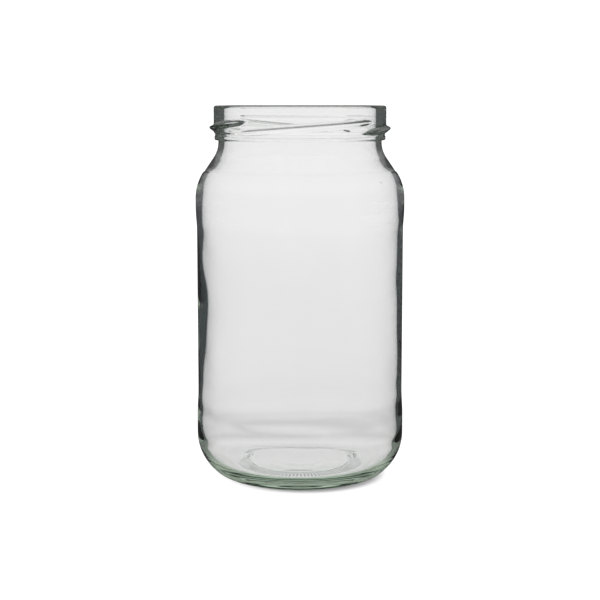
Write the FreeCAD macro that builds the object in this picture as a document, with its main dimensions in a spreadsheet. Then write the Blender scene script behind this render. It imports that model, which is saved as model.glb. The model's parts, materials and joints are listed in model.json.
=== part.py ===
"""One-piece glass food jar with a twist-off finish, as a parametric document.

The jar stands on +Z: the origin is on its axis, in the plane that it stands on.
All sizes are in millimetres and degrees.
"""
import FreeCAD, Part
import math
import os

import Sketcher

NODE = "jar"

# Driving sizes. Each one can be changed by itself.
SIZES = {
    # Body
    "total_height": 130.0,        # standing plane to rim
    "body_dia": 72.8,             # across the two contact bands
    "wall": 2.6,                  # glass behind the label panel
    "panel_depth": 0.4,           # label panel below the contact bands
    "panel_blend": 28.0,          # radius of the blends at the panel's ends
    "lower_band": 5.2,            # contact band under the label panel
    "upper_band": 2.7,            # contact band over the label panel
    # Base
    "heel_slope": 45.0,           # slope between the heel's two radii
    "heel_straight": 0.6,         # straight length between them
    "heel_upper_radius": 17.0,
    "heel_lower_radius": 10.5,
    "stand_ring": 2.2,            # width of the flat ring that the jar stands on
    "stand_radius": 2.5,          # inner edge of the standing ring
    "push_up": 2.2,               # hollow under the base
    "push_up_slope": 10.0,        # its sides, from level
    "push_up_radius": 30.0,
    "base_thickness": 3.6,        # at the middle of the base
    "floor_fall": 1.1,            # inner floor, from the middle to its edge
    "floor_middle_dia": 18.0,
    "floor_radius": 40.0,
    "heel_inner_radius": 8.5,
    # Shoulder and neck
    "shoulder_slope": 36.4,       # from upright
    "shoulder_radius": 17.0,
    "shoulder_inner_radius": 14.5,
    "least_straight": 1.5,        # straight kept between shoulder and neck
    "neck_radius": 9.3,
    "neck_wall": 2.05,
    "neck_straight": 0.6,         # upright neck under the transfer bead
    # Finish
    "land_dia": 59.8,             # the cylinder that the lugs stand on
    "finish_wall": 3.6,
    "bead_depth": 11.9,           # rim to the underside of the transfer bead
    "bead_width": 1.3,
    "bead_step": 0.25,            # transfer bead below the land
    "bead_radius": 0.6,           # its lower edge
    "groove_width": 1.5,
    "groove_step": 0.55,          # groove over the bead, below the land
    "rim_outer_radius": 0.8,
    "rim_inner_radius": 1.3,
    # Lugs
    "lug_count": 4,
    "lug_turn": 100.0,            # one lug, end to end, round the axis
    "lug_rise": 4.0,              # its climb from end to end
    "lug_start_depth": 9.5,       # rim to the middle of its low end
    "lug_start_angle": 224.5,     # place of the first low end
    "lug_reach": 1.55,            # crest beyond the land
    "lug_width": 2.5,             # between the roots of its two flanks
    "lug_crest_radius": 0.5,
    "lug_lead_in": 14.0,          # taper at the low end
    "lug_lead_out": 9.0,          # taper at the high end
    "lug_root": 1.0,              # depth to which it is rooted in the land
    "lug_sink": 0.08,             # depth to which its flanks run into the land
}

# Sizes and places that follow from the driving ones.
PLACES = {
    "body_r": "=Sizes.body_dia / 2",
    "inner_r": "=body_r - Sizes.panel_depth - Sizes.wall",
    "land_r": "=Sizes.land_dia / 2",
    "bore_r": "=land_r - Sizes.finish_wall",
    "neck_r": "=bore_r + Sizes.neck_wall",
    "bead_r": "=land_r - Sizes.bead_step",
    "groove_r": "=land_r - Sizes.groove_step",
    # Finish heights
    "rim_z": "=Sizes.total_height",
    "bead_z": "=rim_z - Sizes.bead_depth",
    "bead_top_z": "=bead_z + Sizes.bead_width",
    "groove_z": "=bead_top_z + Sizes.groove_width / 2",
    "land_z": "=bead_top_z + Sizes.groove_width",
    # Shoulder: two arcs and a straight between body and neck. The slope eases
    # where the step is too small for both arcs at the full slope.
    "arcs": "=Sizes.shoulder_radius + Sizes.neck_radius",
    "step": "=body_r - neck_r",
    "eased": "=acos((arcs - step) / sqrt(arcs ^ 2 + Sizes.least_straight ^ 2))",
    "tilt": "=atan(Sizes.least_straight / arcs)",
    "slope": "=min(Sizes.shoulder_slope * 1deg; eased - tilt)",
    "neck_z": "=bead_z - Sizes.neck_straight - Sizes.neck_radius * tan(slope / 2)",
    "shoulder_z": "=neck_z - step / tan(slope)",
    "band_top_z": "=shoulder_z - Sizes.shoulder_radius * tan(slope / 2)",
    "inner_neck_z": "=neck_z - Sizes.neck_wall * tan(slope / 2)",
    "inner_shoulder_z": "=inner_neck_z - (inner_r - bore_r) / tan(slope)",
    # Heel: two arcs and a straight between the standing ring and the body
    "heel_half": "=tan(Sizes.heel_slope / 2 * 1deg)",
    "heel_other": "=tan((90 - Sizes.heel_slope) / 2 * 1deg)",
    "heel_low_part": "=Sizes.heel_lower_radius * heel_half",
    "heel_high_part": "=Sizes.heel_upper_radius * heel_other",
    "heel_length": "=heel_low_part + Sizes.heel_straight + heel_high_part",
    "heel_r": "=body_r - heel_length * cos(Sizes.heel_slope * 1deg)",
    "heel_z": "=heel_length * sin(Sizes.heel_slope * 1deg)",
    "band_z": "=heel_z + heel_high_part",
    # Base
    "stand_outer_r": "=heel_r - heel_low_part",
    "stand_edge": "=Sizes.stand_radius * tan(Sizes.push_up_slope / 2 * 1deg)",
    "stand_r": "=stand_outer_r - Sizes.stand_ring - stand_edge",
    "push_r": "=stand_r - Sizes.push_up / tan(Sizes.push_up_slope * 1deg)",
    "floor_z": "=Sizes.push_up + Sizes.base_thickness",
    "floor_edge_z": "=floor_z - Sizes.floor_fall",
    "floor_r": "=Sizes.floor_middle_dia / 2",
    # Label panel: each end is a pair of arcs that step in by panel_depth
    "panel_r": "=body_r - Sizes.panel_depth",
    "blend": "=sqrt(4 * Sizes.panel_blend * Sizes.panel_depth - Sizes.panel_depth ^ 2)",
    "panel_low_z": "=band_z + Sizes.lower_band",
    "panel_high_z": "=band_top_z - Sizes.upper_band",
    # Lug
    "lug_z": "=rim_z - Sizes.lug_start_depth",
    "lug_root_r": "=land_r - Sizes.lug_root",
    "lug_sink_r": "=land_r - Sizes.lug_sink",
}

LUG_SECTIONS = 13         # sections that shape one lug, end to end
END_REACH = 0.12          # reach of a lug's end sections, against the full one
END_WIDTH = 0.35          # their width, against the full one
OVER_RIM = 2.0            # how far the cutting profile of the inside passes the rim


def fill_sheet(doc, name, cells):
    """Add a spreadsheet with one aliased cell for each entry."""
    sheet = doc.addObject("Spreadsheet::Sheet", name)
    for row, (alias, content) in enumerate(cells.items(), start=1):
        sheet.set("A%d" % row, alias)
        sheet.set("B%d" % row, str(content))
        sheet.setAlias("B%d" % row, alias)
    doc.recompute()
    return sheet


def origin_feature(body, role):
    """Return the body's own origin plane or axis with this role."""
    return next(item for item in body.Origin.OriginFeatures if item.Role == role)


def new_sketch(body, name, plane="XZ_Plane"):
    """Add a sketch on one of the body's origin planes."""
    sketch = body.newObject("Sketcher::SketchObject", name)
    sketch.AttachmentSupport = [(origin_feature(body, plane), "")]
    sketch.MapMode = "FlatFace"
    return sketch


def number(owner, expression):
    """Return the value of an expression as a plain number."""
    value = owner.evalExpression(expression)
    return float(getattr(value, "Value", value))


def bind(sketch, constraint, expression):
    """Add a dimension to a sketch and tie it to an expression."""
    index = sketch.addConstraint(constraint)
    sketch.setExpression("Constraints[%d]" % index, expression)


def place_point(sketch, geometry, position, across, up):
    """Hold a sketch point at two expressions; "0" is on the sketch's own axis."""
    if across == "0":
        sketch.addConstraint(Sketcher.Constraint("PointOnObject", geometry, position, -2))
    else:
        value = number(sketch, across)
        bind(sketch, Sketcher.Constraint("DistanceX", -1, 1, geometry, position, value), across)
    if up == "0":
        sketch.addConstraint(Sketcher.Constraint("PointOnObject", geometry, position, -1))
    else:
        value = number(sketch, up)
        bind(sketch, Sketcher.Constraint("DistanceY", -1, 1, geometry, position, value), up)


def rounding(before, corner, after, radius):
    """Return the two ends, the centre and the turn of an arc in a corner."""
    back = (before - corner).normalize()
    ahead = (after - corner).normalize()
    half = back.getAngle(ahead) / 2
    start = corner + back * (radius / math.tan(half))
    end = corner + ahead * (radius / math.tan(half))
    centre = corner + (back + ahead).normalize() * (radius / math.sin(half))
    turns_left = (corner - before).cross(after - corner).z > 0
    return start, end, centre, turns_left


def draw_outline(sketch, corners):
    """Draw a closed outline from corners (across, up, radius or None).

    The corners are points held by their expressions. A straight runs through
    each two of them, and an arc tangent to both straights rounds each corner
    that has a radius.
    """
    count = len(corners)
    spots = [FreeCAD.Vector(number(sketch, c[0]), number(sketch, c[1]), 0) for c in corners]
    ends = []
    for i, (across, up, radius) in enumerate(corners):
        if radius is None:
            ends.append((spots[i], spots[i], None, None))
        else:
            value = number(sketch, radius)
            ends.append(rounding(spots[i - 1], spots[i], spots[(i + 1) % count], value))
    points = []
    for spot, corner in zip(spots, corners):
        points.append(sketch.addGeometry(Part.Point(spot), True))
        place_point(sketch, points[-1], 1, corner[0], corner[1])
    lines = []
    for i in range(count):
        line = Part.LineSegment(ends[i][1], ends[(i + 1) % count][0])
        lines.append(sketch.addGeometry(line, False))
    for i, (across, up, radius) in enumerate(corners):
        arrives, leaves = lines[i - 1], lines[i]
        if radius is None:
            sketch.addConstraint(Sketcher.Constraint("Coincident", arrives, 2, points[i], 1))
            sketch.addConstraint(Sketcher.Constraint("Coincident", leaves, 1, points[i], 1))
            continue
        start, end, centre, turns_left = ends[i]
        first, last = (start, end) if turns_left else (end, start)
        low = math.atan2(first.y - centre.y, first.x - centre.x)
        high = math.atan2(last.y - centre.y, last.x - centre.x)
        if high < low:
            high += 2 * math.pi
        value = number(sketch, radius)
        circle = Part.Circle(centre, FreeCAD.Vector(0, 0, 1), value)
        arc = sketch.addGeometry(Part.ArcOfCircle(circle, low, high), False)
        near, far = (1, 2) if turns_left else (2, 1)
        sketch.addConstraint(Sketcher.Constraint("PointOnObject", points[i], 1, arrives))
        sketch.addConstraint(Sketcher.Constraint("PointOnObject", points[i], 1, leaves))
        sketch.addConstraint(Sketcher.Constraint("Tangent", arrives, 2, arc, near))
        sketch.addConstraint(Sketcher.Constraint("Tangent", arc, far, leaves, 1))
        bind(sketch, Sketcher.Constraint("Radius", arc, value), radius)


def revolve(body, kind, name, sketch):
    """Turn a sketch once round the jar's axis, adding or cutting."""
    feature = body.newObject(kind, name)
    feature.Profile = sketch
    feature.ReferenceAxis = (sketch, ["V_Axis"])
    feature.Angle = 360
    body.Document.recompute()
    return feature


def make_blank(body):
    """The jar's outside, still solid: base, heel, body, shoulder, neck and finish."""
    sketch = new_sketch(body, "OutsideOutline")
    draw_outline(sketch, [
        ("0", "Sizes.push_up", None),
        ("Places.push_r", "Sizes.push_up", "Sizes.push_up_radius"),
        ("Places.stand_r", "0", "Sizes.stand_radius"),
        ("Places.heel_r", "0", "Sizes.heel_lower_radius"),
        ("Places.body_r", "Places.heel_z", "Sizes.heel_upper_radius"),
        ("Places.body_r", "Places.shoulder_z", "Sizes.shoulder_radius"),
        ("Places.neck_r", "Places.neck_z", "Sizes.neck_radius"),
        ("Places.neck_r", "Places.bead_z", None),
        ("Places.bead_r", "Places.bead_z", "Sizes.bead_radius"),
        ("Places.bead_r", "Places.bead_top_z", None),
        ("Places.groove_r", "Places.groove_z", None),
        ("Places.land_r", "Places.land_z", None),
        ("Places.land_r", "Places.rim_z", None),
        ("0", "Places.rim_z", None),
    ])
    return revolve(body, "PartDesign::Revolution", "Blank", sketch)


def make_label_panel(body):
    """The recess round the body, with a soft step at each end."""
    sketch = new_sketch(body, "PanelOutline")
    panel_r = number(sketch, "Places.panel_r")
    band_r = number(sketch, "Places.body_r")
    low = number(sketch, "Places.panel_low_z")
    high = number(sketch, "Places.panel_high_z")
    blend = number(sketch, "Places.blend")
    radius = number(sketch, "Sizes.panel_blend")
    outside = band_r + radius / 4
    middle_r = (panel_r + band_r) / 2
    lean = math.asin(blend / 2 / radius)
    z_axis = FreeCAD.Vector(0, 0, 1)

    def arc(across, up, start, end):
        circle = Part.Circle(FreeCAD.Vector(across, up, 0), z_axis, radius)
        return sketch.addGeometry(Part.ArcOfCircle(circle, start, end), False)

    def line(x1, y1, x2, y2):
        return sketch.addGeometry(
            Part.LineSegment(FreeCAD.Vector(x1, y1, 0), FreeCAD.Vector(x2, y2, 0)), False)

    low_band = arc(band_r - radius, low, 0, lean)
    low_panel = arc(panel_r + radius, low + blend, math.pi, math.pi + lean)
    face = line(panel_r, low + blend, panel_r, high - blend)
    high_panel = arc(panel_r + radius, high - blend, math.pi - lean, math.pi)
    high_band = arc(band_r - radius, high, -lean, 0)
    top = line(band_r, high, outside, high)
    back = line(outside, high, outside, low)
    bottom = line(outside, low, band_r, low)

    def join(kind, first, first_end, second, second_end):
        sketch.addConstraint(
            Sketcher.Constraint(kind, first, first_end, second, second_end))

    join("Tangent", low_band, 2, low_panel, 2)
    join("Tangent", low_panel, 1, face, 1)
    join("Tangent", face, 2, high_panel, 2)
    join("Tangent", high_panel, 1, high_band, 1)
    join("Coincident", high_band, 2, top, 1)
    join("Coincident", top, 2, back, 1)
    join("Coincident", back, 2, bottom, 1)
    join("Coincident", bottom, 2, low_band, 1)
    sketch.addConstraint(Sketcher.Constraint("Vertical", face))
    sketch.addConstraint(Sketcher.Constraint("Horizontal", top))
    sketch.addConstraint(Sketcher.Constraint("Vertical", back))
    sketch.addConstraint(Sketcher.Constraint("Horizontal", bottom))
    # The band's arcs end upright: their centres are level with the panel's ends.
    sketch.addConstraint(Sketcher.Constraint("Horizontal", low_band, 3, low_band, 1))
    sketch.addConstraint(Sketcher.Constraint("Horizontal", high_band, 3, high_band, 2))
    for curve in (low_band, low_panel, high_panel, high_band):
        bind(sketch, Sketcher.Constraint("Radius", curve, radius), "Sizes.panel_blend")
    place_point(sketch, low_band, 1, "Places.body_r", "Places.panel_low_z")
    place_point(sketch, high_band, 2, "Places.body_r", "Places.panel_high_z")
    bind(sketch, Sketcher.Constraint("DistanceX", -1, 1, face, 1, panel_r), "Places.panel_r")
    bind(sketch, Sketcher.Constraint("DistanceX", -1, 1, back, 1, outside),
         "Places.body_r + Sizes.panel_blend / 4")
    return revolve(body, "PartDesign::Groove", "LabelPanel", sketch)


def make_inside(body):
    """The hollow: floor, inner heel, walls, inner shoulder and bore."""
    sketch = new_sketch(body, "InsideOutline")
    over = "Places.rim_z + %s" % OVER_RIM
    draw_outline(sketch, [
        ("0", "Places.floor_z", None),
        ("Places.floor_r", "Places.floor_z", "Sizes.floor_radius"),
        ("Places.inner_r", "Places.floor_edge_z", "Sizes.heel_inner_radius"),
        ("Places.inner_r", "Places.inner_shoulder_z", "Sizes.shoulder_inner_radius"),
        ("Places.bore_r", "Places.inner_neck_z", "Sizes.neck_radius + Sizes.neck_wall"),
        ("Places.bore_r", over, None),
        ("0", over, None),
    ])
    return revolve(body, "PartDesign::Groove", "Inside", sketch)


def circle_edge(shape, radius, height):
    """Name the circular edge of a shape with this radius, at this height."""
    for index, edge in enumerate(shape.Edges, start=1):
        if not isinstance(edge.Curve, Part.Circle):
            continue
        same_radius = abs(edge.Curve.Radius - radius) < 1e-4
        if same_radius and abs(edge.Curve.Center.z - height) < 1e-4:
            return "Edge%d" % index
    raise ValueError("no circular edge of radius %g at height %g" % (radius, height))


def round_rim(body, base, name, place, size):
    """Round one edge of the rim."""
    sheet_radius = number(body, place)
    height = number(body, "Places.rim_z")
    fillet = body.newObject("PartDesign::Fillet", name)
    fillet.Base = (base, [circle_edge(base.Shape, sheet_radius, height)])
    fillet.setExpression("Radius", size)
    body.Document.recompute()
    return fillet


def lug_taper(share):
    """Expression for the size of the lug's section at a share of its length."""
    lead_in = "Sizes.lug_turn * %.6f / Sizes.lug_lead_in" % share
    lead_out = "Sizes.lug_turn * %.6f / Sizes.lug_lead_out" % (1 - share)
    rise = "sin(90deg * min(1; %s; %s))" % (lead_in, lead_out)
    return "(%s + (1 - %s) * %s)" % (END_REACH, END_REACH, rise)


def lug_section(body, index, share):
    """One section of a lug: two flanks, a rounded crest and a root in the land."""
    sketch = new_sketch(body, "LugSection%02d" % (index + 1))
    turn = "(Sizes.lug_start_angle + Sizes.lug_turn * %.6f) * 1deg" % share
    climb = "Places.lug_z + Sizes.lug_rise * %.6f" % share
    sketch.AttachmentOffset = FreeCAD.Placement(
        FreeCAD.Vector(0, number(body, climb), 0),
        FreeCAD.Rotation(FreeCAD.Vector(0, 1, 0), number(body, turn)))
    sketch.setExpression("AttachmentOffset.Base.y", "(%s) * 1mm" % climb)
    sketch.setExpression("AttachmentOffset.Rotation.Angle", turn)
    taper = lug_taper(share)
    reach = "(Sizes.lug_reach * %s)" % taper
    tip = "Places.land_r + %s" % reach
    width = "(%s + (1 - %s) * %s)" % (END_WIDTH, END_WIDTH, taper)
    half = "Sizes.lug_width / 2 * %s * (1 + Sizes.lug_sink / %s)" % (width, reach)
    draw_outline(sketch, [
        ("Places.lug_root_r", "-(%s)" % half, None),
        ("Places.lug_sink_r", "-(%s)" % half, None),
        (tip, "0", "Sizes.lug_crest_radius * %s" % taper),
        ("Places.lug_sink_r", half, None),
        ("Places.lug_root_r", half, None),
    ])
    return sketch


def make_lugs(body):
    """The lugs of the finish: one lofted along its climb, the rest by turning it."""
    last = LUG_SECTIONS - 1
    sections = [lug_section(body, i, i / last) for i in range(LUG_SECTIONS)]
    body.Document.recompute()
    lug = body.newObject("PartDesign::AdditiveLoft", "Lug")
    lug.Profile = sections[0]
    lug.Sections = sections[1:]
    lug.Ruled = False
    body.Document.recompute()
    lugs = body.newObject("PartDesign::PolarPattern", "Lugs")
    lugs.Originals = [lug]
    lugs.Axis = (origin_feature(body, "Z_Axis"), [""])
    lugs.Angle = 360
    lugs.setExpression("Occurrences", "Sizes.lug_count")
    body.Tip = lugs
    body.Document.recompute()
    return lugs


def make_jar(doc):
    """The whole jar, one piece of glass."""
    body = doc.addObject("PartDesign::Body", "Jar")
    body.Label = NODE
    make_blank(body)
    panel = make_label_panel(body)
    outside = round_rim(body, panel, "RimOutside", "Places.land_r", "Sizes.rim_outer_radius")
    solid = outside.Shape.Volume
    inside = make_inside(body)
    if not inside.Shape.Volume < solid:
        raise RuntimeError("the inside cuts nothing")
    round_rim(body, inside, "RimInside", "Places.bore_r", "Sizes.rim_inner_radius")
    make_lugs(body)
    return body


def check(doc, bodies):
    """Stop if any object of the document failed, or a body is not one valid solid."""
    for item in doc.Objects:
        if "Invalid" in item.State or "Error" in item.State:
            raise RuntimeError("%s failed: %s" % (item.Name, item.State))
    for body in bodies:
        shape = body.Shape
        if shape.isNull() or not shape.isValid() or len(shape.Solids) != 1:
            raise RuntimeError("%s is not one valid solid" % body.Label)


def main():
    doc = FreeCAD.newDocument("FoodJar")
    fill_sheet(doc, "Sizes", SIZES)
    fill_sheet(doc, "Places", PLACES)
    bodies = [make_jar(doc)]
    doc.recompute()
    check(doc, bodies)
    os.makedirs("parts", exist_ok=True)
    for body in bodies:
        body.Shape.exportStep("parts/%s.step" % body.Label)
        box = body.Shape.optimalBoundingBox()
        print("%s: %.2f x %.2f x %.2f mm, %.2f cm3"
              % (body.Label, box.XLength, box.YLength, box.ZLength, body.Shape.Volume / 1000))


main()
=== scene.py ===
"""An empty clear glass food jar with a twist-off finish, dressed for its portrait.

Everything is in metres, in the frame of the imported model: the jar stands on the
plane z = 0 with its axis on Z.
"""

import json
import logging
import math
from dataclasses import dataclass, field
from enum import Enum
from typing import Callable, Iterator, Sequence

import bpy
import bmesh
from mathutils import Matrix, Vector, noise

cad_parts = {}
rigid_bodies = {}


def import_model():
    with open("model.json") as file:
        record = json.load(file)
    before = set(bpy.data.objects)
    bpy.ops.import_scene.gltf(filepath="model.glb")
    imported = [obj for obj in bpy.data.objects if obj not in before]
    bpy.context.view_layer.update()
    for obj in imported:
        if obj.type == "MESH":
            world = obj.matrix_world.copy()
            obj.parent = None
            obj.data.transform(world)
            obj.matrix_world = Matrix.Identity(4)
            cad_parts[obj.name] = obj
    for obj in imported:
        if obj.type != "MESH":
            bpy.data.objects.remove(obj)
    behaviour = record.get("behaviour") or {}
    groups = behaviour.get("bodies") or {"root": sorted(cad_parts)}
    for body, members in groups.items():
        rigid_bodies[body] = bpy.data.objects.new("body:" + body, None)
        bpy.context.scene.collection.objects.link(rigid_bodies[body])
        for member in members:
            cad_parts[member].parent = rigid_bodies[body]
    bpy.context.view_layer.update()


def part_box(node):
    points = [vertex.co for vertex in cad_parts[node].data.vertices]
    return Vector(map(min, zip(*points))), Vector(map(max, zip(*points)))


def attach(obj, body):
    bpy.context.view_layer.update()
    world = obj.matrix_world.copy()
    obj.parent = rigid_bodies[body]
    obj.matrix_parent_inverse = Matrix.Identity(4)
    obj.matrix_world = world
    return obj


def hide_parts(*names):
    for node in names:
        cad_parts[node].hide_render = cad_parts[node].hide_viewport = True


MM = 0.001
MERGE_GAP = 1e-7  # vertices nearer than this, in metres, are one
LOG = logging.getLogger("jar")
JAR_NODE = "jar"
BODY = "root"

Point = tuple[float, float]
Corner = tuple[float, float, float, int]
Color = tuple[float, float, float]
Socket = bpy.types.NodeSocket
Value = float | tuple[float, ...] | Socket


class PanelEnd(Enum):
    """The label panel's two ends, each with a soft step out to a contact band."""

    LOWER = "lower"
    UPPER = "upper"


class MixKind(Enum):
    """What a mix in a node tree mixes."""

    COLOR = "RGBA"
    NUMBER = "FLOAT"


# --------------------------------------------------------------------------
# Small helpers for modelling in edit mode
# --------------------------------------------------------------------------

def deselect_all() -> None:
    """Clear the object selection, so that an operator acts on one piece only."""
    for item in bpy.context.view_layer.objects:
        item.select_set(False)


def edit(piece: bpy.types.Object) -> None:
    """Open one piece in edit mode with nothing selected.

    Args:
        piece: the mesh object to open.
    """
    deselect_all()
    piece.select_set(True)
    bpy.context.view_layer.objects.active = piece
    bpy.ops.object.mode_set(mode="EDIT")
    bpy.ops.mesh.select_mode(type="VERT")
    bpy.ops.mesh.select_all(action="DESELECT")


def leave_edit() -> None:
    """Go back to object mode."""
    bpy.ops.object.mode_set(mode="OBJECT")


def pick_vertices(piece: bpy.types.Object, wanted: Callable[[Vector], bool]) -> None:
    """Select the vertices of the piece in edit mode that lie where they are wanted.

    Args:
        piece: the mesh object that is open in edit mode.
        wanted: tells from a vertex's place whether to select it.
    """
    mesh = bmesh.from_edit_mesh(piece.data)
    for vertex in mesh.verts:
        vertex.select_set(wanted(vertex.co))
    mesh.select_flush_mode()
    bmesh.update_edit_mesh(piece.data)


def apply_modifiers(piece: bpy.types.Object) -> None:
    """Apply every modifier of a piece, in order."""
    deselect_all()
    piece.select_set(True)
    bpy.context.view_layer.objects.active = piece
    for modifier in list(piece.modifiers):
        bpy.ops.object.modifier_apply(modifier=modifier.name)


def weigh(piece: bpy.types.Object, name: str, weight: Callable[[Vector], float]) -> None:
    """Paint a vertex group from a rule.

    Args:
        piece: the mesh object.
        name: the vertex group's name.
        weight: gives the weight, from 0 to 1, from a vertex's place.
    """
    group = piece.vertex_groups.new(name=name)
    for vertex in piece.data.vertices:
        value = weight(vertex.co)
        if value > 0:
            group.add([vertex.index], min(value, 1.0), "REPLACE")


def smooth_step(low: float, high: float, value: float) -> float:
    """Rise smoothly from 0 at low to 1 at high."""
    share = min(max((value - low) / (high - low), 0.0), 1.0)
    return share * share * (3 - 2 * share)


def window(low: float, high: float, fade: float, value: float) -> float:
    """Be 1 between low and high, and fade to 0 outside them.

    Args:
        low: start of the full stretch.
        high: end of the full stretch.
        fade: length of the fade at each end.
        value: where to measure.

    Returns:
        The height of the window there, from 0 to 1.
    """
    return smooth_step(low - fade, low, value) * (1 - smooth_step(high, high + fade, value))


# --------------------------------------------------------------------------
# The outline that the jar is turned from
# --------------------------------------------------------------------------

def along(start: Point, end: Point, pieces: int) -> Iterator[Point]:
    """Points on a straight, without its start.

    Args:
        start: where the straight begins.
        end: where it ends.
        pieces: how many equal stretches it is cut into.

    Yields:
        The end of each stretch.
    """
    for step in range(1, pieces + 1):
        share = step / pieces
        yield (start[0] + (end[0] - start[0]) * share, start[1] + (end[1] - start[1]) * share)


def rounded(corners: Sequence[Corner], straights: Sequence[int]) -> list[Point]:
    """Points on an open outline whose corners are rounded.

    Args:
        corners: across, up, radius (0 for a sharp corner) and arc pieces of each.
        straights: how many pieces the straight after each corner is cut into.

    Returns:
        The points from the first corner to the last.
    """
    spots = [Vector((c[0], c[1])) for c in corners]
    points: list[Point] = [tuple(spots[0])]
    for i in range(1, len(corners)):
        radius, pieces = corners[i][2], corners[i][3]
        if radius == 0 or i == len(corners) - 1:
            points.extend(along(points[-1], tuple(spots[i]), straights[i - 1]))
            continue
        back = (spots[i - 1] - spots[i]).normalized()
        ahead = (spots[i + 1] - spots[i]).normalized()
        half = back.angle(ahead) / 2
        start = spots[i] + back * (radius / math.tan(half))
        centre = spots[i] + (back + ahead).normalized() * (radius / math.sin(half))
        points.extend(along(points[-1], tuple(start), straights[i - 1]))
        turn = math.pi - 2 * half
        if back.x * ahead.y - back.y * ahead.x > 0:
            turn = -turn
        first = start - centre
        for step in range(1, pieces + 1):
            angle = turn * step / pieces
            spoke = Vector((first.x * math.cos(angle) - first.y * math.sin(angle),
                            first.x * math.sin(angle) + first.y * math.cos(angle)))
            points.append(tuple(centre + spoke))
    return points


@dataclass(frozen=True)
class JarForm:
    """The jar's sizes, in millimetres and degrees.

    They are the drawing's, apart from the hollow under the base, the base's thickness
    and the blends at the panel's ends, which are this dressed jar's own.
    """

    height: float
    body_dia: float
    panel_depth: float = 0.4
    lower_blend: float = 80.0
    upper_blend: float = 50.0
    blend_pieces: int = 16
    lower_band: float = 5.2
    upper_band: float = 2.7
    wall: float = 2.6
    heel_slope: float = 45.0
    heel_straight: float = 0.6
    heel_upper_radius: float = 17.0
    heel_lower_radius: float = 10.5
    stand_ring: float = 2.2
    stand_radius: float = 2.5
    push_up: float = 0.45
    push_up_slope: float = 12.0
    push_up_radius: float = 4.0
    base_thickness: float = 4.45
    floor_fall: float = 1.1
    floor_middle: float = 9.0
    floor_radius: float = 40.0
    heel_inner_radius: float = 8.5
    shoulder_slope: float = 36.4
    shoulder_radius: float = 17.0
    shoulder_inner_radius: float = 14.5
    neck_radius: float = 9.3
    neck_wall: float = 2.05
    neck_straight: float = 0.6
    land_dia: float = 59.8
    finish_wall: float = 3.6
    bead_depth: float = 11.9
    bead_width: float = 1.3
    bead_step: float = 0.25
    bead_radius: float = 0.6
    bead_top_radius: float = 0.5
    groove_width: float = 1.5
    groove_step: float = 0.55
    groove_radius: float = 0.4
    groove_top_radius: float = 0.6
    parting_step: float = 0.06
    parting_depth: float = 3.9
    parting_reach: float = 0.2
    rim_seam: float = 1.5         # from the land to where the inside's outline takes over
    rim_outer_radius: float = 0.8
    rim_inner_radius: float = 1.3
    lug_count: int = 4
    lug_turn: float = 100.0
    lug_rise: float = 4.0
    lug_start_depth: float = 9.5
    lug_start_angle: float = 224.5
    lug_reach: float = 1.55
    lug_width: float = 2.5
    lug_lead_in: float = 14.0
    lug_lead_out: float = 9.0

    @property
    def body_r(self) -> float:
        """Radius of the contact bands."""
        return self.body_dia / 2

    @property
    def inner_r(self) -> float:
        """Radius of the hollow behind the label panel."""
        return self.body_r - self.panel_depth - self.wall

    @property
    def land_r(self) -> float:
        """Radius of the cylinder that the lugs stand on."""
        return self.land_dia / 2

    @property
    def bore_r(self) -> float:
        """Radius of the mouth."""
        return self.land_r - self.finish_wall

    @property
    def neck_r(self) -> float:
        """Radius of the neck under the transfer bead."""
        return self.bore_r + self.neck_wall

    @property
    def bead_z(self) -> float:
        """Height of the transfer bead's underside."""
        return self.height - self.bead_depth

    @property
    def lug_z(self) -> float:
        """Height of a lug's low end."""
        return self.height - self.lug_start_depth

    def heel(self) -> tuple[float, float, float]:
        """The heel's lower corner radius, its upper corner height and its top."""
        slope = math.radians(self.heel_slope)
        low = self.heel_lower_radius * math.tan(slope / 2)
        high = self.heel_upper_radius * math.tan((math.pi / 2 - slope) / 2)
        length = low + self.heel_straight + high
        corner_z = length * math.sin(slope)
        return self.body_r - length * math.cos(slope), corner_z, corner_z + high

    def shoulder(self) -> tuple[float, float, float]:
        """Heights of the neck's corner, the shoulder's corner and the band's top."""
        slope = math.radians(self.shoulder_slope)
        half = math.tan(slope / 2)
        neck_z = self.bead_z - self.neck_straight - self.neck_radius * half
        shoulder_z = neck_z - (self.body_r - self.neck_r) / math.tan(slope)
        return neck_z, shoulder_z, shoulder_z - self.shoulder_radius * half

    def underside(self) -> list[Point]:
        """The outline under the base, from the axis to the heel's straight."""
        heel_r, _, _ = self.heel()
        slope = math.radians(self.push_up_slope)
        low = self.heel_lower_radius * math.tan(math.radians(self.heel_slope) / 2)
        stand_r = heel_r - low - self.stand_ring - self.stand_radius * math.tan(slope / 2)
        push_r = stand_r - self.push_up / math.tan(slope)
        return rounded(
            [(0, self.push_up, 0, 0),
             (push_r, self.push_up, self.push_up_radius, 8),
             (stand_r, 0, self.stand_radius, 4),
             (heel_r, 0, self.heel_lower_radius, 14),
             (self.body_r, self.heel()[1], 0, 0)],
            [6, 3, 5, 1])

    def panel_step(self, height: float, end: PanelEnd) -> list[Point]:
        """A soft step between a contact band and the label panel.

        Args:
            height: where the step starts on the band.
            end: which end of the panel it is at.

        Returns:
            The points of the step, from the lower end to the upper.
        """
        depth = self.panel_depth
        blend = self.lower_blend if end is PanelEnd.LOWER else self.upper_blend
        length = math.sqrt(4 * blend * depth - depth * depth)
        points = []
        for step in range(self.blend_pieces + 1):
            share = step / self.blend_pieces
            run = length * min(share, 1 - share)
            fall = blend - math.sqrt(blend ** 2 - run ** 2)
            inset = fall if share < 0.5 else depth - fall
            if end is PanelEnd.LOWER:
                points.append((self.body_r - inset, height + length * share))
            else:
                points.insert(0, (self.body_r - inset, height - length * share))
        return points

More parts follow.
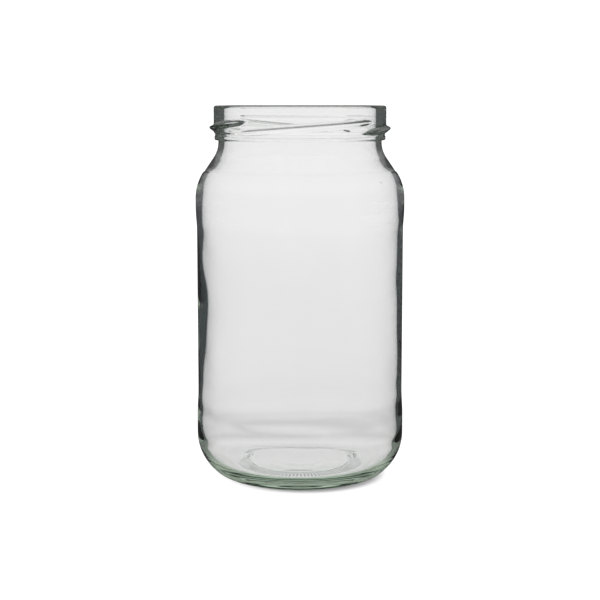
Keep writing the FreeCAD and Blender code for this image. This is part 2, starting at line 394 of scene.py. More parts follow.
    def outside(self) -> list[Point]:
        """The outline from the heel's straight up to the rim's outer edge."""
        _, heel_z, band_z = self.heel()
        neck_z, shoulder_z, band_top_z = self.shoulder()
        start = self.underside()[-2]
        points = rounded(
            [(start[0], start[1], 0, 0),
             (self.body_r, heel_z, self.heel_upper_radius, 16),
             (self.body_r, band_z + self.lower_band, 0, 0)],
            [1, 2])
        points += self.panel_step(band_z + self.lower_band, PanelEnd.LOWER)[1:]
        top_step = self.panel_step(band_top_z - self.upper_band, PanelEnd.UPPER)
        points += list(along(points[-1], top_step[0], 24))
        points += top_step[1:]
        points += rounded(
            [(self.body_r, points[-1][1], 0, 0),
             (self.body_r, shoulder_z, self.shoulder_radius, 18),
             (self.neck_r, neck_z, self.neck_radius, 12),
             (self.neck_r, self.bead_z, 0, 0)],
            [1, 3, 2])[1:]
        return points + self.finish()

    def finish(self) -> list[Point]:
        """The outline of the bead, the groove over it and the land, up to the rim."""
        bead_r = self.land_r - self.bead_step
        groove_r = self.land_r - self.groove_step
        bead_top = self.bead_z + self.bead_width
        land_z = bead_top + self.groove_width
        parting_z = self.height - self.parting_depth
        points = rounded(
            [(self.neck_r, self.bead_z, 0, 0),
             (bead_r, self.bead_z, self.bead_radius, 5),
             (bead_r, bead_top, self.bead_top_radius, 3),
             (groove_r, bead_top + self.groove_width / 2, self.groove_radius, 3),
             (self.land_r, land_z, self.groove_top_radius, 3),
             (self.land_r, parting_z - self.parting_reach, 0, 0),
             (self.land_r + self.parting_step, parting_z, 0, 0),
             (self.land_r, parting_z + self.parting_reach, 0, 0),
             (self.land_r, self.height, self.rim_outer_radius, 5),
             (self.land_r - self.rim_seam, self.height, 0, 0)],
            [2, 2, 1, 1, 50, 1, 1, 5, 2])
        return points[1:]

    def inside(self) -> list[Point]:
        """The outline from the rim down the bore and the wall to the floor's middle."""
        slope = math.radians(self.shoulder_slope)
        neck_z = self.shoulder()[0] - self.neck_wall * math.tan(slope / 2)
        shoulder_z = neck_z - (self.inner_r - self.bore_r) / math.tan(slope)
        floor_z = self.push_up + self.base_thickness
        return rounded(
            [(self.land_r - self.rim_seam, self.height, 0, 0),
             (self.bore_r, self.height, self.rim_inner_radius, 8),
             (self.bore_r, neck_z, self.neck_radius + self.neck_wall, 12),
             (self.inner_r, shoulder_z, self.shoulder_inner_radius, 16),
             (self.inner_r, floor_z - self.floor_fall, self.heel_inner_radius, 20),
             (self.floor_middle, floor_z, self.floor_radius, 4),
             (0, floor_z, 0, 0)],
            [1, 8, 4, 72, 8, 5])[1:]


# --------------------------------------------------------------------------
# Finishes
# --------------------------------------------------------------------------

class Tree:
    """Thin helper that places, feeds and links nodes in one node tree."""

    def __init__(self, tree: bpy.types.NodeTree) -> None:
        """Keep the tree and start it empty."""
        self.tree = tree
        self.tree.nodes.clear()
        self.column = 0

    def add(self, kind: str, **settings: object) -> bpy.types.Node:
        """Add a node.

        Args:
            kind: the node's type name.
            settings: properties to set on it.

        Returns:
            The new node.
        """
        node = self.tree.nodes.new(kind)
        node.location = (self.column * 180, 0)
        self.column += 1
        for name, value in settings.items():
            setattr(node, name, value)
        return node

    def feed(self, target: Socket, value: Value) -> None:
        """Link a socket into another one, or set it to a number, a place or a colour.

        Args:
            target: the input to feed.
            value: what it gets.
        """
        if isinstance(value, bpy.types.NodeSocket):
            self.tree.links.new(value, target)
        elif target.type == "RGBA":
            target.default_value = (*value, 1)
        else:
            target.default_value = value

    def feed_all(self, node: bpy.types.Node, values: dict[str, Value]) -> None:
        """Feed several inputs of one node by name."""
        for name, value in values.items():
            self.feed(node.inputs[name], value)

    def math(self, operation: str, *values: Value) -> Socket:
        """Work out one operation on numbers.

        Args:
            operation: the operation's name.
            values: what it works on, in order.

        Returns:
            The result.
        """
        node = self.add("ShaderNodeMath", operation=operation)
        for target, value in zip(node.inputs, values):
            self.feed(target, value)
        return node.outputs["Value"]

    def length(self, vector: Socket) -> Socket:
        """Measure the length of a vector."""
        node = self.add("ShaderNodeVectorMath", operation="LENGTH")
        self.feed(node.inputs[0], vector)
        return node.outputs["Value"]

    def split(self, vector: Socket) -> tuple[Socket, Socket, Socket]:
        """Take a vector apart."""
        node = self.add("ShaderNodeSeparateXYZ")
        self.feed(node.inputs["Vector"], vector)
        return node.outputs["X"], node.outputs["Y"], node.outputs["Z"]

    def map_range(self, value: Socket, source: Point, target: Point = (0.0, 1.0),
                  soft: bool = False) -> Socket:
        """Carry a value from one range over to another, and hold it at the ends.

        Args:
            value: the value to carry over.
            source: the range that it comes from.
            target: the range that it goes to.
            soft: whether it eases in and out.

        Returns:
            The value in its new range.
        """
        kind = "SMOOTHSTEP" if soft else "LINEAR"
        node = self.add("ShaderNodeMapRange", interpolation_type=kind)
        self.feed_all(node, {"Value": value, "From Min": source[0], "From Max": source[1],
                             "To Min": target[0], "To Max": target[1]})
        return node.outputs["Result"]

    def mix(self, factor: Socket, first: Value, second: Value,
            kind: MixKind = MixKind.COLOR) -> Socket:
        """Mix two colours or two numbers.

        Args:
            factor: the share of the second one.
            first: what is there at a factor of 0.
            second: what is there at a factor of 1.
            kind: whether they are colours or numbers.

        Returns:
            The mix.
        """
        node = self.add("ShaderNodeMix", data_type=kind.value)
        self.feed_all(node, {"Factor": factor, "A": first, "B": second})
        return node.outputs["Result"]

    def ramp(self, stops: Sequence[tuple[float, float | Color]], place: Socket) -> Socket:
        """Look a value up in a ramp of greys or colours.

        Args:
            stops: place and grey or colour of each stop, in order.
            place: the value to look up, from 0 to 1.

        Returns:
            The grey or colour found there.
        """
        node = self.add("ShaderNodeValToRGB")
        elements = node.color_ramp.elements
        while len(elements) < len(stops):
            elements.new(0.5)
        for element, (position, shade) in zip(elements, stops):
            element.position = position
            element.color = (*shade, 1) if isinstance(shade, tuple) else (shade, shade, shade, 1)
        self.feed(node.inputs["Fac"], place)
        return node.outputs["Color"]

    def noise(self, place: Socket, stretch: Color | None, **inputs: Value) -> Socket:
        """Add a noise pattern.

        Args:
            place: where it is looked up.
            stretch: a scale for that place along each axis, or None for none.
            inputs: the pattern's own inputs by name.

        Returns:
            The pattern's level.
        """
        if stretch is not None:
            scaled = self.add("ShaderNodeMapping")
            self.feed_all(scaled, {"Vector": place, "Scale": stretch})
            place = scaled.outputs["Vector"]
        node = self.add("ShaderNodeTexNoise")
        self.feed_all(node, {"Vector": place, **inputs})
        return node.outputs["Fac"]


@dataclass(frozen=True)
class FirePolish:
    """What fire-polished glass shows all over: soft ripple, faint haze and cord streaks."""

    name: str = "fire_polished_surface"
    ripple_scale: float = 60.0
    ripple_detail: float = 2.0
    ripple_stretch: Color = (1.0, 1.0, 0.35)
    haze_scale: float = 25.0
    haze_detail: float = 6.0
    haze_roughness: float = 0.7
    haze_fade: tuple[Point, ...] = ((0.55, 0.0), (0.75, 1.0))
    streak_scale: float = 90.0
    streak_detail: float = 3.0
    streak_stretch: Color = (1.0, 1.0, 0.12)

    def group(self) -> bpy.types.NodeTree:
        """Build the effect.

        Returns:
            A node group that puts out a ripple height, a haze mask and cord streaks.
        """
        group = bpy.data.node_groups.new(self.name, "ShaderNodeTree")
        face = group.interface
        face.new_socket("Vector", in_out="INPUT", socket_type="NodeSocketVector")
        for name, value in (("Ripple Scale", self.ripple_scale), ("Haze Scale", self.haze_scale)):
            socket = face.new_socket(name, in_out="INPUT", socket_type="NodeSocketFloat")
            socket.default_value = value
        for name in ("Ripple", "Haze", "Streak"):
            face.new_socket(name, in_out="OUTPUT", socket_type="NodeSocketFloat")
        tree = Tree(group)
        given = tree.add("NodeGroupInput")
        out = tree.add("NodeGroupOutput")
        place = given.outputs["Vector"]
        haze = tree.noise(place, None, Scale=given.outputs["Haze Scale"],
                          Detail=self.haze_detail, Roughness=self.haze_roughness)
        tree.feed_all(out, {
            "Ripple": tree.noise(place, self.ripple_stretch, Scale=given.outputs["Ripple Scale"],
                                 Detail=self.ripple_detail),
            "Haze": tree.ramp(self.haze_fade, haze),
            "Streak": tree.noise(place, self.streak_stretch, Scale=self.streak_scale,
                                 Detail=self.streak_detail)})
        return group


@dataclass(frozen=True)
class ClearGlass:
    """Clear container glass: a faint green in its depth, with painted shade where light is
    turned back, on the finish's upward edges and on the stipple ribs.

    Lengths are in metres, apart from the heights in `turned` and `turned_top`, which are
    in millimetres.
    """

    name: str = "clear_container_glass"
    clear: Color = (0.985, 0.975, 0.980)
    streaked: Color = (0.962, 0.952, 0.957)
    # Painted shade: base colours by height, in millimetres, for light turned back inside the glass.
    turned: tuple[tuple[float, Color], ...] = (
        (0, (0.34, 0.43, 0.30)), (6, (0.30, 0.39, 0.27)), (9, (0.09, 0.12, 0.09)),
        (17, (0.013, 0.018, 0.015)), (24, (0.0065, 0.009, 0.0085)), (45, (0.0034, 0.0046, 0.0047)),
        (94, (0.0055, 0.0072, 0.0080)), (102, (0.035, 0.037, 0.040)), (111, (0.06, 0.063, 0.065)),
        (115, (0.012, 0.014, 0.0135)), (130, (0.009, 0.011, 0.010)))
    turned_top: float = 130.0     # the height of the last of them
    # Painted lighter tint for that light behind the front wall.
    turned_behind: Color = (0.86, 0.90, 0.87)
    behind_depth: float = 2.5     # times through the surface, past which it is behind the front wall
    # Painted green tint for that light after many bounces.
    turned_often: Color = (0.34, 0.43, 0.30)
    often_depth: float = 8.5      # bounces, past which light was piped a long way
    rib_count: int = 101
    rib_inner_r: float = 0.0182
    rib_outer_r: float = 0.0220
    rib_top: float = 0.0018       # no rib reaches higher than this
    rib_edge: Point = (0.35, 0.90)
    # Painted shade on the rib crests under the base.
    rib_painted_shade: Color = (0.03, 0.04, 0.035)
    # Painted shade on the finish's upward-facing edges and on the rim.
    edge_painted_shade: Color = (0.14, 0.155, 0.145)
    edge_lean: Point = (0.55, 0.85)
    edge_from: float = 0.1195
    rim_edge: Point = (0.1291, 0.1295)
    depth_color: Color = (0.60, 0.86, 0.72)
    depth_density: float = 7.0
    ior: float = 1.517
    haze_roughness: float = 0.035
    ripple_strength: float = 0.6
    ripple_height: float = 0.00002

    def rib_shade(self, tree: Tree, spot: tuple[Socket, Socket, Socket], plain: Socket) -> Socket:
        """Paint shade on the stipple ribs under the base, where they meet what they stand on.

        Args:
            tree: the material's nodes.
            spot: the object coordinates, taken apart.
            plain: the unshaded colour.

        Returns:
            The colour with the ribs shaded.
        """
        turn = tree.math("ARCTAN2", spot[1], spot[0])
        beat = tree.math("COSINE", tree.math("MULTIPLY", turn, self.rib_count))
        flat = tree.add("ShaderNodeCombineXYZ")
        tree.feed_all(flat, {"X": spot[0], "Y": spot[1]})
        ring = tree.math("COMPARE", tree.length(flat.outputs["Vector"]),
                         (self.rib_inner_r + self.rib_outer_r) / 2,
                         (self.rib_outer_r - self.rib_inner_r) / 2)
        under = tree.math("MULTIPLY", ring, tree.math("LESS_THAN", spot[2], self.rib_top))
        ribs = tree.math("MULTIPLY", tree.map_range(beat, self.rib_edge, soft=True), under)
        return tree.mix(ribs, plain, self.rib_painted_shade)

    def edge_shade(self, tree: Tree, height: Socket, normal: Socket, plain: Socket) -> Socket:
        """Paint shade on the finish's upward edges and the rim, in place of the dark that they
        show by bending what is seen down into the jar.

        Args:
            tree: the material's nodes.
            height: the height on the jar.
            normal: the surface's normal.
            plain: the unshaded colour.

        Returns:
            The colour with the edges shaded.
        """
        upward = tree.map_range(tree.split(normal)[2], self.edge_lean, soft=True)
        lug = tree.math("MULTIPLY", upward, tree.math("GREATER_THAN", height, self.edge_from))
        rim = tree.map_range(height, self.rim_edge, soft=True)
        return tree.mix(tree.math("MAXIMUM", lug, rim), plain, self.edge_painted_shade)

    def turned_shade(self, tree: Tree, height: Socket, path: bpy.types.Node) -> Socket:
        """Paint shade on light that the glass has turned back inside itself.

        The room's sides are dark for mirrored light too, but this tint paints the wall's dark
        bands by height. Low down and after many bounces it is painted green, and behind the
        front wall it is painted lighter.

        Args:
            tree: the material's nodes.
            height: the height on the jar.
            path: the light path node.

        Returns:
            The tint.
        """
        share = tree.map_range(height, (0.0, self.turned_top * MM))
        stops = [(level / self.turned_top, color) for level, color in self.turned]
        often = tree.math("GREATER_THAN", path.outputs["Ray Depth"], self.often_depth)
        piped = tree.mix(often, tree.ramp(stops, share), self.turned_often)
        behind = tree.math("GREATER_THAN", path.outputs["Transmission Depth"], self.behind_depth)
        return tree.mix(behind, piped, self.turned_behind)

    def material(self) -> bpy.types.Material:
        """Build the glass material."""
        made = bpy.data.materials.new(self.name)
        made.use_nodes = True
        tree = Tree(made.node_tree)
        out = tree.add("ShaderNodeOutputMaterial")
        glass = tree.add("ShaderNodeBsdfPrincipled")
        place = tree.add("ShaderNodeTexCoord").outputs["Object"]
        facing = tree.add("ShaderNodeNewGeometry")
        path = tree.add("ShaderNodeLightPath")
        surface = tree.add("ShaderNodeGroup", node_tree=FirePolish().group())
        tree.feed(surface.inputs["Vector"], place)
        spot = tree.split(place)

        color = tree.mix(surface.outputs["Streak"], self.clear, self.streaked)
        # Painted shade on the stipple ribs under the base.
        color = self.rib_shade(tree, spot, color)
        # Painted shade on the finish's upward edges and the rim.
        color = self.edge_shade(tree, spot[2], facing.outputs["Normal"], color)
        # Painted shade: light turned back inside the glass takes the dark tint by height.
        turned = tree.math("MULTIPLY", path.outputs["Is Reflection Ray"],
                           facing.outputs["Backfacing"])
        color = tree.mix(turned, color, self.turned_shade(tree, spot[2], path))

        bump = tree.add("ShaderNodeBump")
        tree.feed_all(bump, {"Strength": self.ripple_strength, "Distance": self.ripple_height,
                             "Height": surface.outputs["Ripple"]})
        haze = tree.map_range(surface.outputs["Haze"], (0.0, 1.0), (0.0, self.haze_roughness))
        tree.feed_all(glass, {
            "Base Color": color, "Roughness": haze, "Normal": bump.outputs["Normal"],
            "IOR": self.ior, "Transmission Weight": 1.0, "Metallic": 0.0})
        depth = tree.add("ShaderNodeVolumeAbsorption")
        tree.feed_all(depth, {"Color": self.depth_color, "Density": self.depth_density})
        tree.feed_all(out, {"Surface": glass.outputs["BSDF"], "Volume": depth.outputs["Volume"]})
        return made


# --------------------------------------------------------------------------
# The jar
# --------------------------------------------------------------------------

@dataclass(frozen=True)
class BlownWall:
    """How the blown wall runs thicker and thinner than drawn.

    Heights and lengths are in millimetres, and amounts are shares of `most`. A span is
    the start and end of its full stretch and the fade at each end.
    """

    most: float = 1.0
    face_margin: float = 0.3      # outside the body's hollow, past which nothing changes
    finish_depth: float = 3.5     # under the rim, above which nothing changes
    floor_margin: float = 1.0     # over the floor's middle, below which the floor stays
    heel_width: float = 6.0       # round the floor, where the heel changes with the wall
    sets_in: Point = (8.0, 17.0)
    fades_out: Point = (88.0, 102.0)
    thinning: float = 0.65
    belly: float = 1.25
    belly_z: float = 55.0
    belly_length: float = 20.0
    slow: float = 0.20
    slow_rate: float = 1.1
    slow_length: float = 46.0
    slow_seed: Color = (4, 1, 7)
    fine: float = 0.10
    fine_rate: float = 3.4
    fine_length: float = 13.0
    fine_seed: Color = (9, 3, 2)
    low: float = 0.35
    low_span: Color = (18.0, 26.0, 8.0)
    shoulder: float = 0.5
    shoulder_span: Color = (98.0, 101.0, 13.0)
    settle: float = 0.12
    settle_least: float = 0.4
    settle_z: float = 22.4
    settle_slow: float = 1.6
    settle_fine: float = 0.9
    settle_width: float = 1.5

    def change(self, form: JarForm, spot: Vector) -> float:
        """How much thicker the wall is than drawn at a place.

        The finish, the floor and the body's outside stay as drawn. Over the shoulder the
        outside comes as near to the axis as the body's hollow, and both faces change.

        Args:
            form: the jar's sizes.
            spot: the place on the glass, in metres.

        Returns:
            The change, from -1 to 1.
        """
        radius = math.hypot(spot.x, spot.y) / MM
        height = spot.z / MM
        if radius > form.inner_r + self.face_margin or height > form.height - self.finish_depth:
            return 0.0
        floor_z = form.push_up + form.base_thickness
        if height < floor_z + self.floor_margin and radius < form.inner_r - self.heel_width:
            return 0.0
        out = Vector((spot.x, spot.y, 0)).normalized()
        slow = self.wave(out, height, self.slow_rate, self.slow_length, self.slow_seed)
        fine = self.wave(out, height, self.fine_rate, self.fine_length, self.fine_seed)
        body = smooth_step(*self.sets_in, height) * (1 - smooth_step(*self.fades_out, height))
        belly = math.exp(-((height - self.belly_z) / self.belly_length) ** 2) * (0.5 - 0.5 * out.x)
        settle_z = self.settle_z + self.settle_slow * slow + self.settle_fine * fine
        settle = math.exp(-((height - settle_z) / self.settle_width) ** 2) * self.settle
        settle *= self.settle_least + abs(out.y)
        uneven = self.belly * belly - self.thinning + self.slow * slow + self.fine * fine
        change = body * uneven - self.low * window(*self.low_span, height)
        change += settle - self.shoulder * window(*self.shoulder_span, height)
        return max(-1.0, min(1.0, change))

    @staticmethod
    def wave(out: Vector, height: float, rate: float, length: float, seed: Color) -> float:
        """The level of a soft random wave.

        Args:
            out: the direction from the axis.
            height: the height on the jar.
            rate: how fast the wave changes round the jar.
            length: how far up it takes to change.
            seed: what makes it differ from other waves.

        Returns:
            The level, from about -1 to 1.
        """
        return noise.noise(Vector((out.x * rate, out.y * rate, height / length)) + Vector(seed))


@dataclass
class GlassJar:
    """The jar's glass: turned from its outline, then lugged, stippled and settled.

    Lengths are in millimetres. A seed has its turn in degrees, its height and its
    distance from the axis.
    """

    form: JarForm
    finish: ClearGlass = field(default_factory=ClearGlass)
    wall: BlownWall = field(default_factory=BlownWall)
    steps: int = 232              # pieces round the axis
    rib_count: int = 101          # stipple ribs under the base
    rib_steps: int = 6            # pieces for each rib and its gap
    rib_height: float = 0.15
    rib_inner_r: float = 17.8
    rib_outer_r: float = 22.4
    rib_fade: float = 0.4         # at both ends of a rib
    rib_flank: Point = (0.12, 0.32)   # from a rib's middle, as shares of the pitch
    hollow_fade: float = 0.8      # at both edges of the hollow that the ribs fill
    ring_inner_r: float = 16.6    # the finely divided ring that holds the ribs
    ring_outer_r: float = 23.5
    ring_rows: int = 17
    lug_margin: float = 0.2       # inside the groove, within which the land counts
    lug_floor: float = 1.0        # over the bead's underside, below which no lug reaches
    lug_ceiling: float = 2.0      # under the rim, above which no lug reaches
    lug_tip: float = 0.35         # width of a lug's ends, as a share of its width
    lug_section: tuple[Point, ...] = (
        (-1.1, 0.0), (-0.95, 0.06), (-0.3, 0.80), (-0.12, 0.95), (0.02, 1.0), (0.16, 0.95),
        (0.26, 0.84), (0.50, 0.36), (0.62, 0.24), (0.95, 0.03), (1.1, 0.0))
    seed_radius: float = 0.22
    seeds: tuple[tuple[float, float, float], ...] = (
        (322.0, 104.0, 33.4), (327.0, 91.0, 34.9), (95.0, 61.0, 34.8), (188.0, 47.0, 34.9))

    def lathe(self, name: str, points: Sequence[Point], steps: int) -> bpy.types.Object:
        """Turn an outline once round the axis.

        Args:
            name: the new object's name.
            points: the outline's points, across and up, in millimetres.
            steps: how many pieces the turn is cut into.

        Returns:
            The turned shell.
        """
        deselect_all()
        bpy.ops.mesh.primitive_plane_add(size=MM, location=(0, 0, 0))
        shell = bpy.context.active_object
        shell.name = name
        edit(shell)
        bpy.ops.mesh.select_all(action="SELECT")
        bpy.ops.mesh.merge(type="CENTER")
        spots = [Vector((across * MM, 0, up * MM)) for across, up in points]
        bpy.ops.transform.translate(value=spots[0])
        for before, after in zip(spots, spots[1:]):
            bpy.ops.mesh.extrude_region_move(
                TRANSFORM_OT_translate={"value": after - before})
        bpy.ops.mesh.select_all(action="SELECT")
        bpy.ops.mesh.spin(steps=steps, angle=2 * math.pi, center=(0, 0, 0), axis=(0, 0, 1))
        bpy.ops.mesh.select_all(action="SELECT")
        bpy.ops.mesh.remove_doubles(threshold=MERGE_GAP)
        leave_edit()
        return shell

    def split_underside(self) -> tuple[list[Point], list[Point], list[Point]]:
        """Cut the underside's outline into its middle, the ribbed ring and the rest."""
        whole = self.form.underside()[:-1]

        def height(radius: float) -> float:
            for (r1, z1), (r2, z2) in zip(whole, whole[1:]):
                if r1 <= radius <= r2:
                    return z1 + (z2 - z1) * (radius - r1) / (r2 - r1)
            raise ValueError("no underside at radius %g" % radius)

        def lifted(radius: float) -> Point:
            lift = window(self.rib_inner_r, self.rib_outer_r, self.hollow_fade, radius)
            return radius, height(radius) + self.rib_height * lift

        gap = (self.ring_outer_r - self.ring_inner_r) / self.ring_rows
        clear = 1.5 * gap
        middle = [p for p in whole if p[0] < self.ring_inner_r - clear]
        middle.append((self.ring_inner_r - gap, height(self.ring_inner_r - gap)))
        ring = [lifted(self.ring_inner_r + gap * i) for i in range(self.ring_rows + 1)]
        outer = [(self.ring_outer_r + gap, height(self.ring_outer_r + gap))]
        outer += [p for p in whole if p[0] > self.ring_outer_r + clear]
        return middle, ring, outer

    def bridge(self, piece: bpy.types.Object, inner: float, outer: float) -> None:
        """Close the open gap under the base between two circles.

        Args:
            piece: the joined shells.
            inner: radius of the inner circle, in millimetres.
            outer: radius of the outer circle.
        """
        edit(piece)
        tolerance = 0.02

        def on_circle(spot: Vector) -> bool:
            radius = math.hypot(spot.x, spot.y) / MM
            near = min(abs(radius - inner), abs(radius - outer)) < tolerance
            return near and spot.z / MM < self.form.push_up + tolerance

        pick_vertices(piece, on_circle)
        bpy.ops.mesh.bridge_edge_loops()
        leave_edit()

    def shell(self) -> bpy.types.Object:
        """Turn the parts of the outline and close them into one shell."""
        middle, ring, outer = self.split_underside()
        rest = outer + self.form.outside()[1:] + self.form.inside()
        parts = [self.lathe("jar_glass", rest, self.steps),
                 self.lathe("jar_ring", ring, self.rib_count * self.rib_steps),
                 self.lathe("jar_middle", middle, self.steps)]
        deselect_all()
        for part in parts:
            part.select_set(True)
        bpy.context.view_layer.objects.active = parts[0]
        bpy.ops.object.join()
        glass = parts[0]
        self.bridge(glass, middle[-1][0], ring[0][0])
        self.bridge(glass, ring[-1][0], outer[0][0])
        edit(glass)
        bpy.ops.mesh.select_all(action="SELECT")
        bpy.ops.mesh.remove_doubles(threshold=MERGE_GAP)
        bpy.ops.mesh.normals_make_consistent(inside=False)
        leave_edit()
        return glass

    def lug_weight(self, spot: Vector) -> float:
        """How far a lug stands out at a place on the land, as a share of its reach."""
        form = self.form
        radius = math.hypot(spot.x, spot.y) / MM
        height = spot.z / MM
        if radius < form.land_r - form.groove_step - self.lug_margin:
            return 0.0
        if not form.bead_z + self.lug_floor <= height <= form.height - self.lug_ceiling:
            return 0.0
        angle = math.degrees(math.atan2(spot.y, spot.x)) - form.lug_start_angle
        best = 0.0
        for lug in range(form.lug_count):
            turned = (angle - lug * 360.0 / form.lug_count) % 360.0
            if turned > form.lug_turn:
                continue
            lead = min(turned / form.lug_lead_in, (form.lug_turn - turned) / form.lug_lead_out, 1)
            taper = math.sin(math.pi / 2 * lead)
            middle = form.lug_z + form.lug_rise * turned / form.lug_turn
            half = form.lug_width / 2 * (self.lug_tip + (1 - self.lug_tip) * taper)
            best = max(best, taper * self.lug_profile((height - middle) / half))
        return best

    def lug_profile(self, off: float) -> float:
        """A lug's section: a soft underside, a rounded crest and a steeper upper shoulder.

        Args:
            off: height over the lug's middle, as a share of half its width.

        Returns:
            How far the section stands out there, as a share of the reach.
        """
        for (low, start), (high, end) in zip(self.lug_section, self.lug_section[1:]):
            if low <= off <= high:
                return start + (end - start) * (off - low) / (high - low)
        return 0.0

    def raise_lugs(self, glass: bpy.types.Object) -> None:
        """Raise the lugs out of the land."""
        weigh(glass, "lugs", self.lug_weight)
        raised = glass.modifiers.new("lugs", "DISPLACE")
        raised.vertex_group = "lugs"
        raised.direction = "NORMAL"
        raised.mid_level = 0.0
        raised.strength = self.form.lug_reach * MM
        apply_modifiers(glass)

    def rib_weight(self, spot: Vector) -> float:
        """How far a stipple rib reaches down at a place under the base."""
        radius = math.hypot(spot.x, spot.y) / MM
        if spot.z / MM > self.form.push_up + 2 * self.rib_height or radius > self.ring_outer_r:
            return 0.0
        across = window(self.rib_inner_r + self.rib_fade, self.rib_outer_r - self.rib_fade,
                        self.rib_fade, radius)
        turn = math.atan2(spot.y, spot.x) / (2 * math.pi) * self.rib_count
        off = abs(turn - round(turn))
        return across * (1 - smooth_step(*self.rib_flank, off))

    def press_ribs(self, glass: bpy.types.Object) -> None:
        """Press the stipple ribs down to the standing plane."""
        weigh(glass, "ribs", self.rib_weight)
        pressed = glass.modifiers.new("ribs", "DISPLACE")
        pressed.vertex_group = "ribs"
        pressed.direction = "Z"
        pressed.mid_level = 0.0
        pressed.strength = -self.rib_height * MM
        apply_modifiers(glass)

    def settle_wall(self, glass: bpy.types.Object) -> None:
        """Let the blown wall run thicker and thinner."""
        for name, sign in (("thick_wall", 1), ("thin_wall", -1)):
            weigh(glass, name,
                  lambda spot, sign=sign: max(0.0, sign * self.wall.change(self.form, spot)))
            moved = glass.modifiers.new(name, "DISPLACE")
            moved.vertex_group = name
            moved.direction = "NORMAL"
            moved.mid_level = 0.0
            moved.strength = sign * self.wall.most * MM
        apply_modifiers(glass)

    def seed(self, turn: float, height: float, radius: float) -> bpy.types.Object:
        """Make one tiny bubble in the wall.

        Args:
            turn: its place round the axis, in degrees.
            height: its height, in millimetres.
            radius: its distance from the axis.

        Returns:
            The bubble, with its faces turned inwards.
        """
        angle = math.radians(turn)
        spot = (radius * math.cos(angle) * MM, radius * math.sin(angle) * MM, height * MM)
        deselect_all()
        bpy.ops.mesh.primitive_ico_sphere_add(
            subdivisions=2, radius=self.seed_radius * MM, location=spot)
        bubble = bpy.context.active_object
        bpy.ops.object.transform_apply(location=True)
        edit(bubble)
        bpy.ops.mesh.select_all(action="SELECT")
        bpy.ops.mesh.flip_normals()
        leave_edit()
        return bubble

    def add_seeds(self, glass: bpy.types.Object) -> None:
        """Join the few bubbles that the glass holds to it."""
        bubbles = [self.seed(turn, height, radius) for turn, height, radius in self.seeds]
        deselect_all()
        for bubble in bubbles:
            bubble.select_set(True)
        glass.select_set(True)
        bpy.context.view_layer.objects.active = glass
        bpy.ops.object.join()

    def build(self) -> bpy.types.Object:
        """Make the glass mesh."""
        glass = self.shell()
        self.raise_lugs(glass)
        self.press_ribs(glass)
        self.settle_wall(glass)
        self.add_seeds(glass)
        deselect_all()
        glass.select_set(True)
        bpy.context.view_layer.objects.active = glass
        bpy.ops.object.shade_smooth()
        return glass

    def dress(self, glass: bpy.types.Object) -> None:
        """Give the glass its finish and its place in the frame."""
        glass.data.materials.clear()
        glass.data.materials.append(self.finish.material())
        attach(glass, BODY)
        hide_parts(JAR_NODE)


# --------------------------------------------------------------------------
# The studio
# --------------------------------------------------------------------------

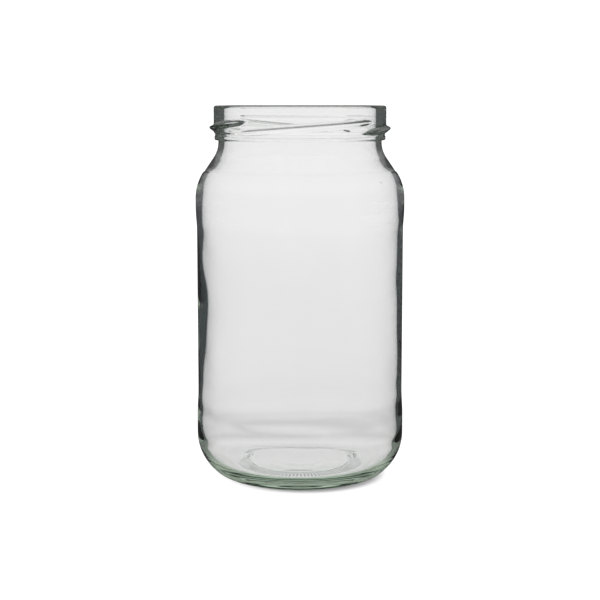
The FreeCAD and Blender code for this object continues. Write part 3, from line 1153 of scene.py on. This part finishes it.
@dataclass(frozen=True)
class Studio:
    """A pale floor with painted shadows and painted shade, a bright room that is mirrored
    dark at its sides, and the camera.

    Lengths are in metres, and the camera's lens and sensor in millimetres.
    """

    floor_radius: float = 40.0
    floor_sides: int = 128
    floor_gap: float = 0.00003    # keeps air between the floor and the base
    floor_roughness: float = 0.9
    floor_color: Color = (0.3, 0.3, 0.3)
    # Painted shade: the floor's colour where it is seen mirrored.
    floor_painted_dark_mirrored: Color = (0.02, 0.02, 0.02)
    # Painted shadow: the floor's light by distance, dimmer from 40 to 130 mm out, where it is seen
    # through the glass.
    glow_with_painted_shadows: tuple[Point, ...] = (
        (0.0, 0.62), (0.040, 0.60), (0.064, 0.36), (0.085, 0.45), (0.13, 0.53), (0.5, 0.57),
        (1.0, 0.62))              # by distance from the axis
    glow_seen: float = 0.88
    # Painted shade: the floor's light where it is seen mirrored.
    glow_in_painted_shadow: float = 0.25
    # Painted contact shadow, where the floor is seen directly: its level, offset and fade distances.
    glow_painted_dark_mirrored: float = 0.03
    shadow_aside: Point = (0.0022, -0.0014)
    shadow_from: float = 0.0235
    shadow_to: float = 0.0292
    room_seen: tuple[Point, ...] = ((0.0, 1.0), (0.6, 1.0), (1.0, 0.9))
    room_mirrored: tuple[Point, ...] = (
        (0.0, 0.05), (0.5, 0.05), (0.56, 0.10), (0.7, 0.55), (1.0, 0.7))
    room_plain: Color = (1.26, 1.26, 1.26)
    lens: float = 84.83
    sensor: float = 36.0
    clip: Point = (0.01, 100.0)
    distance: float = 0.4942
    eye_height: float = 0.1262
    tilt_down: float = 7.39
    bounces: int = 32
    bounces_through: int = 24
    bounces_mirrored: int = 12
    bounces_past: int = 16

    def floor(self) -> None:
        """Lay the floor."""
        deselect_all()
        bpy.ops.mesh.primitive_circle_add(
            vertices=self.floor_sides, radius=self.floor_radius, fill_type="NGON",
            location=(0, 0, -self.floor_gap))
        floor = bpy.context.active_object
        floor.name = "studio_floor"
        floor.data.materials.append(self.floor_paint())

    def floor_paint(self) -> bpy.types.Material:
        """Build the floor's paint: a painted contact shadow by the jar where it is seen directly,
        dimmer light with a painted shadow ring round the jar where it is seen through the
        glass, and painted shade where it is seen mirrored.
        """
        made = bpy.data.materials.new("pale_floor")
        made.use_nodes = True
        tree = Tree(made.node_tree)
        out = tree.add("ShaderNodeOutputMaterial")
        paint = tree.add("ShaderNodeBsdfPrincipled")
        place = tree.add("ShaderNodeTexCoord").outputs["Object"]
        path = tree.add("ShaderNodeLightPath")
        mirrored = path.outputs["Is Reflection Ray"]
        # Painted shadow ring round the jar, where the floor is seen through the glass.
        spread = tree.ramp(self.glow_with_painted_shadows, tree.map_range(tree.length(place), (0.0, 1.0)))
        # Painted contact shadow by the jar, where the floor is seen directly.
        aside = tree.add("ShaderNodeVectorMath", operation="SUBTRACT")
        tree.feed(aside.inputs[0], place)
        tree.feed(aside.inputs[1], (*self.shadow_aside, 0))
        contact = tree.map_range(
            tree.length(aside.outputs["Vector"]), (self.shadow_from, self.shadow_to),
            (self.glow_in_painted_shadow, self.glow_seen), soft=True)
        glow_with_painted_shadows = tree.mix(path.outputs["Is Camera Ray"], spread, contact, MixKind.NUMBER)
        # Painted shade: the floor is dark where it is seen mirrored.
        tree.feed_all(paint, {
            "Roughness": self.floor_roughness, "Specular IOR Level": 0.0,
            "Base Color": tree.mix(mirrored, self.floor_color, self.floor_painted_dark_mirrored),
            "Emission Color": (1, 1, 1),
            "Emission Strength": tree.mix(mirrored, glow_with_painted_shadows, self.glow_painted_dark_mirrored, MixKind.NUMBER)})
        tree.feed(out.inputs["Surface"], paint.outputs["BSDF"])
        return made

    def room(self) -> None:
        """Light the room from all round, with dark sides and a bright top for mirrored light."""
        world = bpy.data.worlds.new("studio_room")
        bpy.context.scene.world = world
        world.use_nodes = True
        tree = Tree(world.node_tree)
        out = tree.add("ShaderNodeOutputWorld")
        sky = tree.add("ShaderNodeBackground")
        place = tree.add("ShaderNodeTexCoord").outputs["Generated"]
        path = tree.add("ShaderNodeLightPath")
        rise = tree.map_range(tree.split(place)[2], (-1.0, 1.0))
        glossy = tree.mix(path.outputs["Is Reflection Ray"], tree.ramp(self.room_seen, rise),
                          tree.ramp(self.room_mirrored, rise))
        direct = tree.math("MAXIMUM", path.outputs["Is Camera Ray"],
                           path.outputs["Is Diffuse Ray"])
        tree.feed(sky.inputs["Color"], tree.mix(direct, glossy, self.room_plain))
        tree.feed(out.inputs["Surface"], sky.outputs["Background"])

    def camera(self) -> None:
        """Set up the camera in front of the jar, a little above its shoulder."""
        data = bpy.data.cameras.new("studio_camera")
        data.lens = self.lens
        data.sensor_width = self.sensor
        data.clip_start, data.clip_end = self.clip
        camera = bpy.data.objects.new("studio_camera", data)
        bpy.context.scene.collection.objects.link(camera)
        camera.location = (0, -self.distance, self.eye_height)
        camera.rotation_euler = (math.radians(90 - self.tilt_down), 0, 0)
        bpy.context.scene.camera = camera

    def build(self) -> None:
        """Set up floor, room, camera and the way that light is counted."""
        self.floor()
        self.room()
        self.camera()
        scene = bpy.context.scene
        scene.view_settings.view_transform = "Standard"
        scene.view_settings.look = "None"
        scene.cycles.max_bounces = self.bounces
        scene.cycles.transmission_bounces = self.bounces_through
        scene.cycles.glossy_bounces = self.bounces_mirrored
        scene.cycles.transparent_max_bounces = self.bounces_past


def main() -> None:
    """Load the frame, build the jar and the studio, and report each piece."""
    logging.basicConfig(level=logging.INFO, format="%(name)s: %(message)s")
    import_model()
    low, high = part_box(JAR_NODE)
    form = JarForm(height=(high[2] - low[2]) / MM, body_dia=(high[0] - low[0]) / MM)
    LOG.info("drawing: %.2f mm high, %.2f mm across", form.height, form.body_dia)
    jar = GlassJar(form)
    glass = jar.build()
    jar.dress(glass)
    LOG.info("%s: %d faces", glass.name, len(glass.data.polygons))
    Studio().build()


if __name__ == "__main__":
    main()
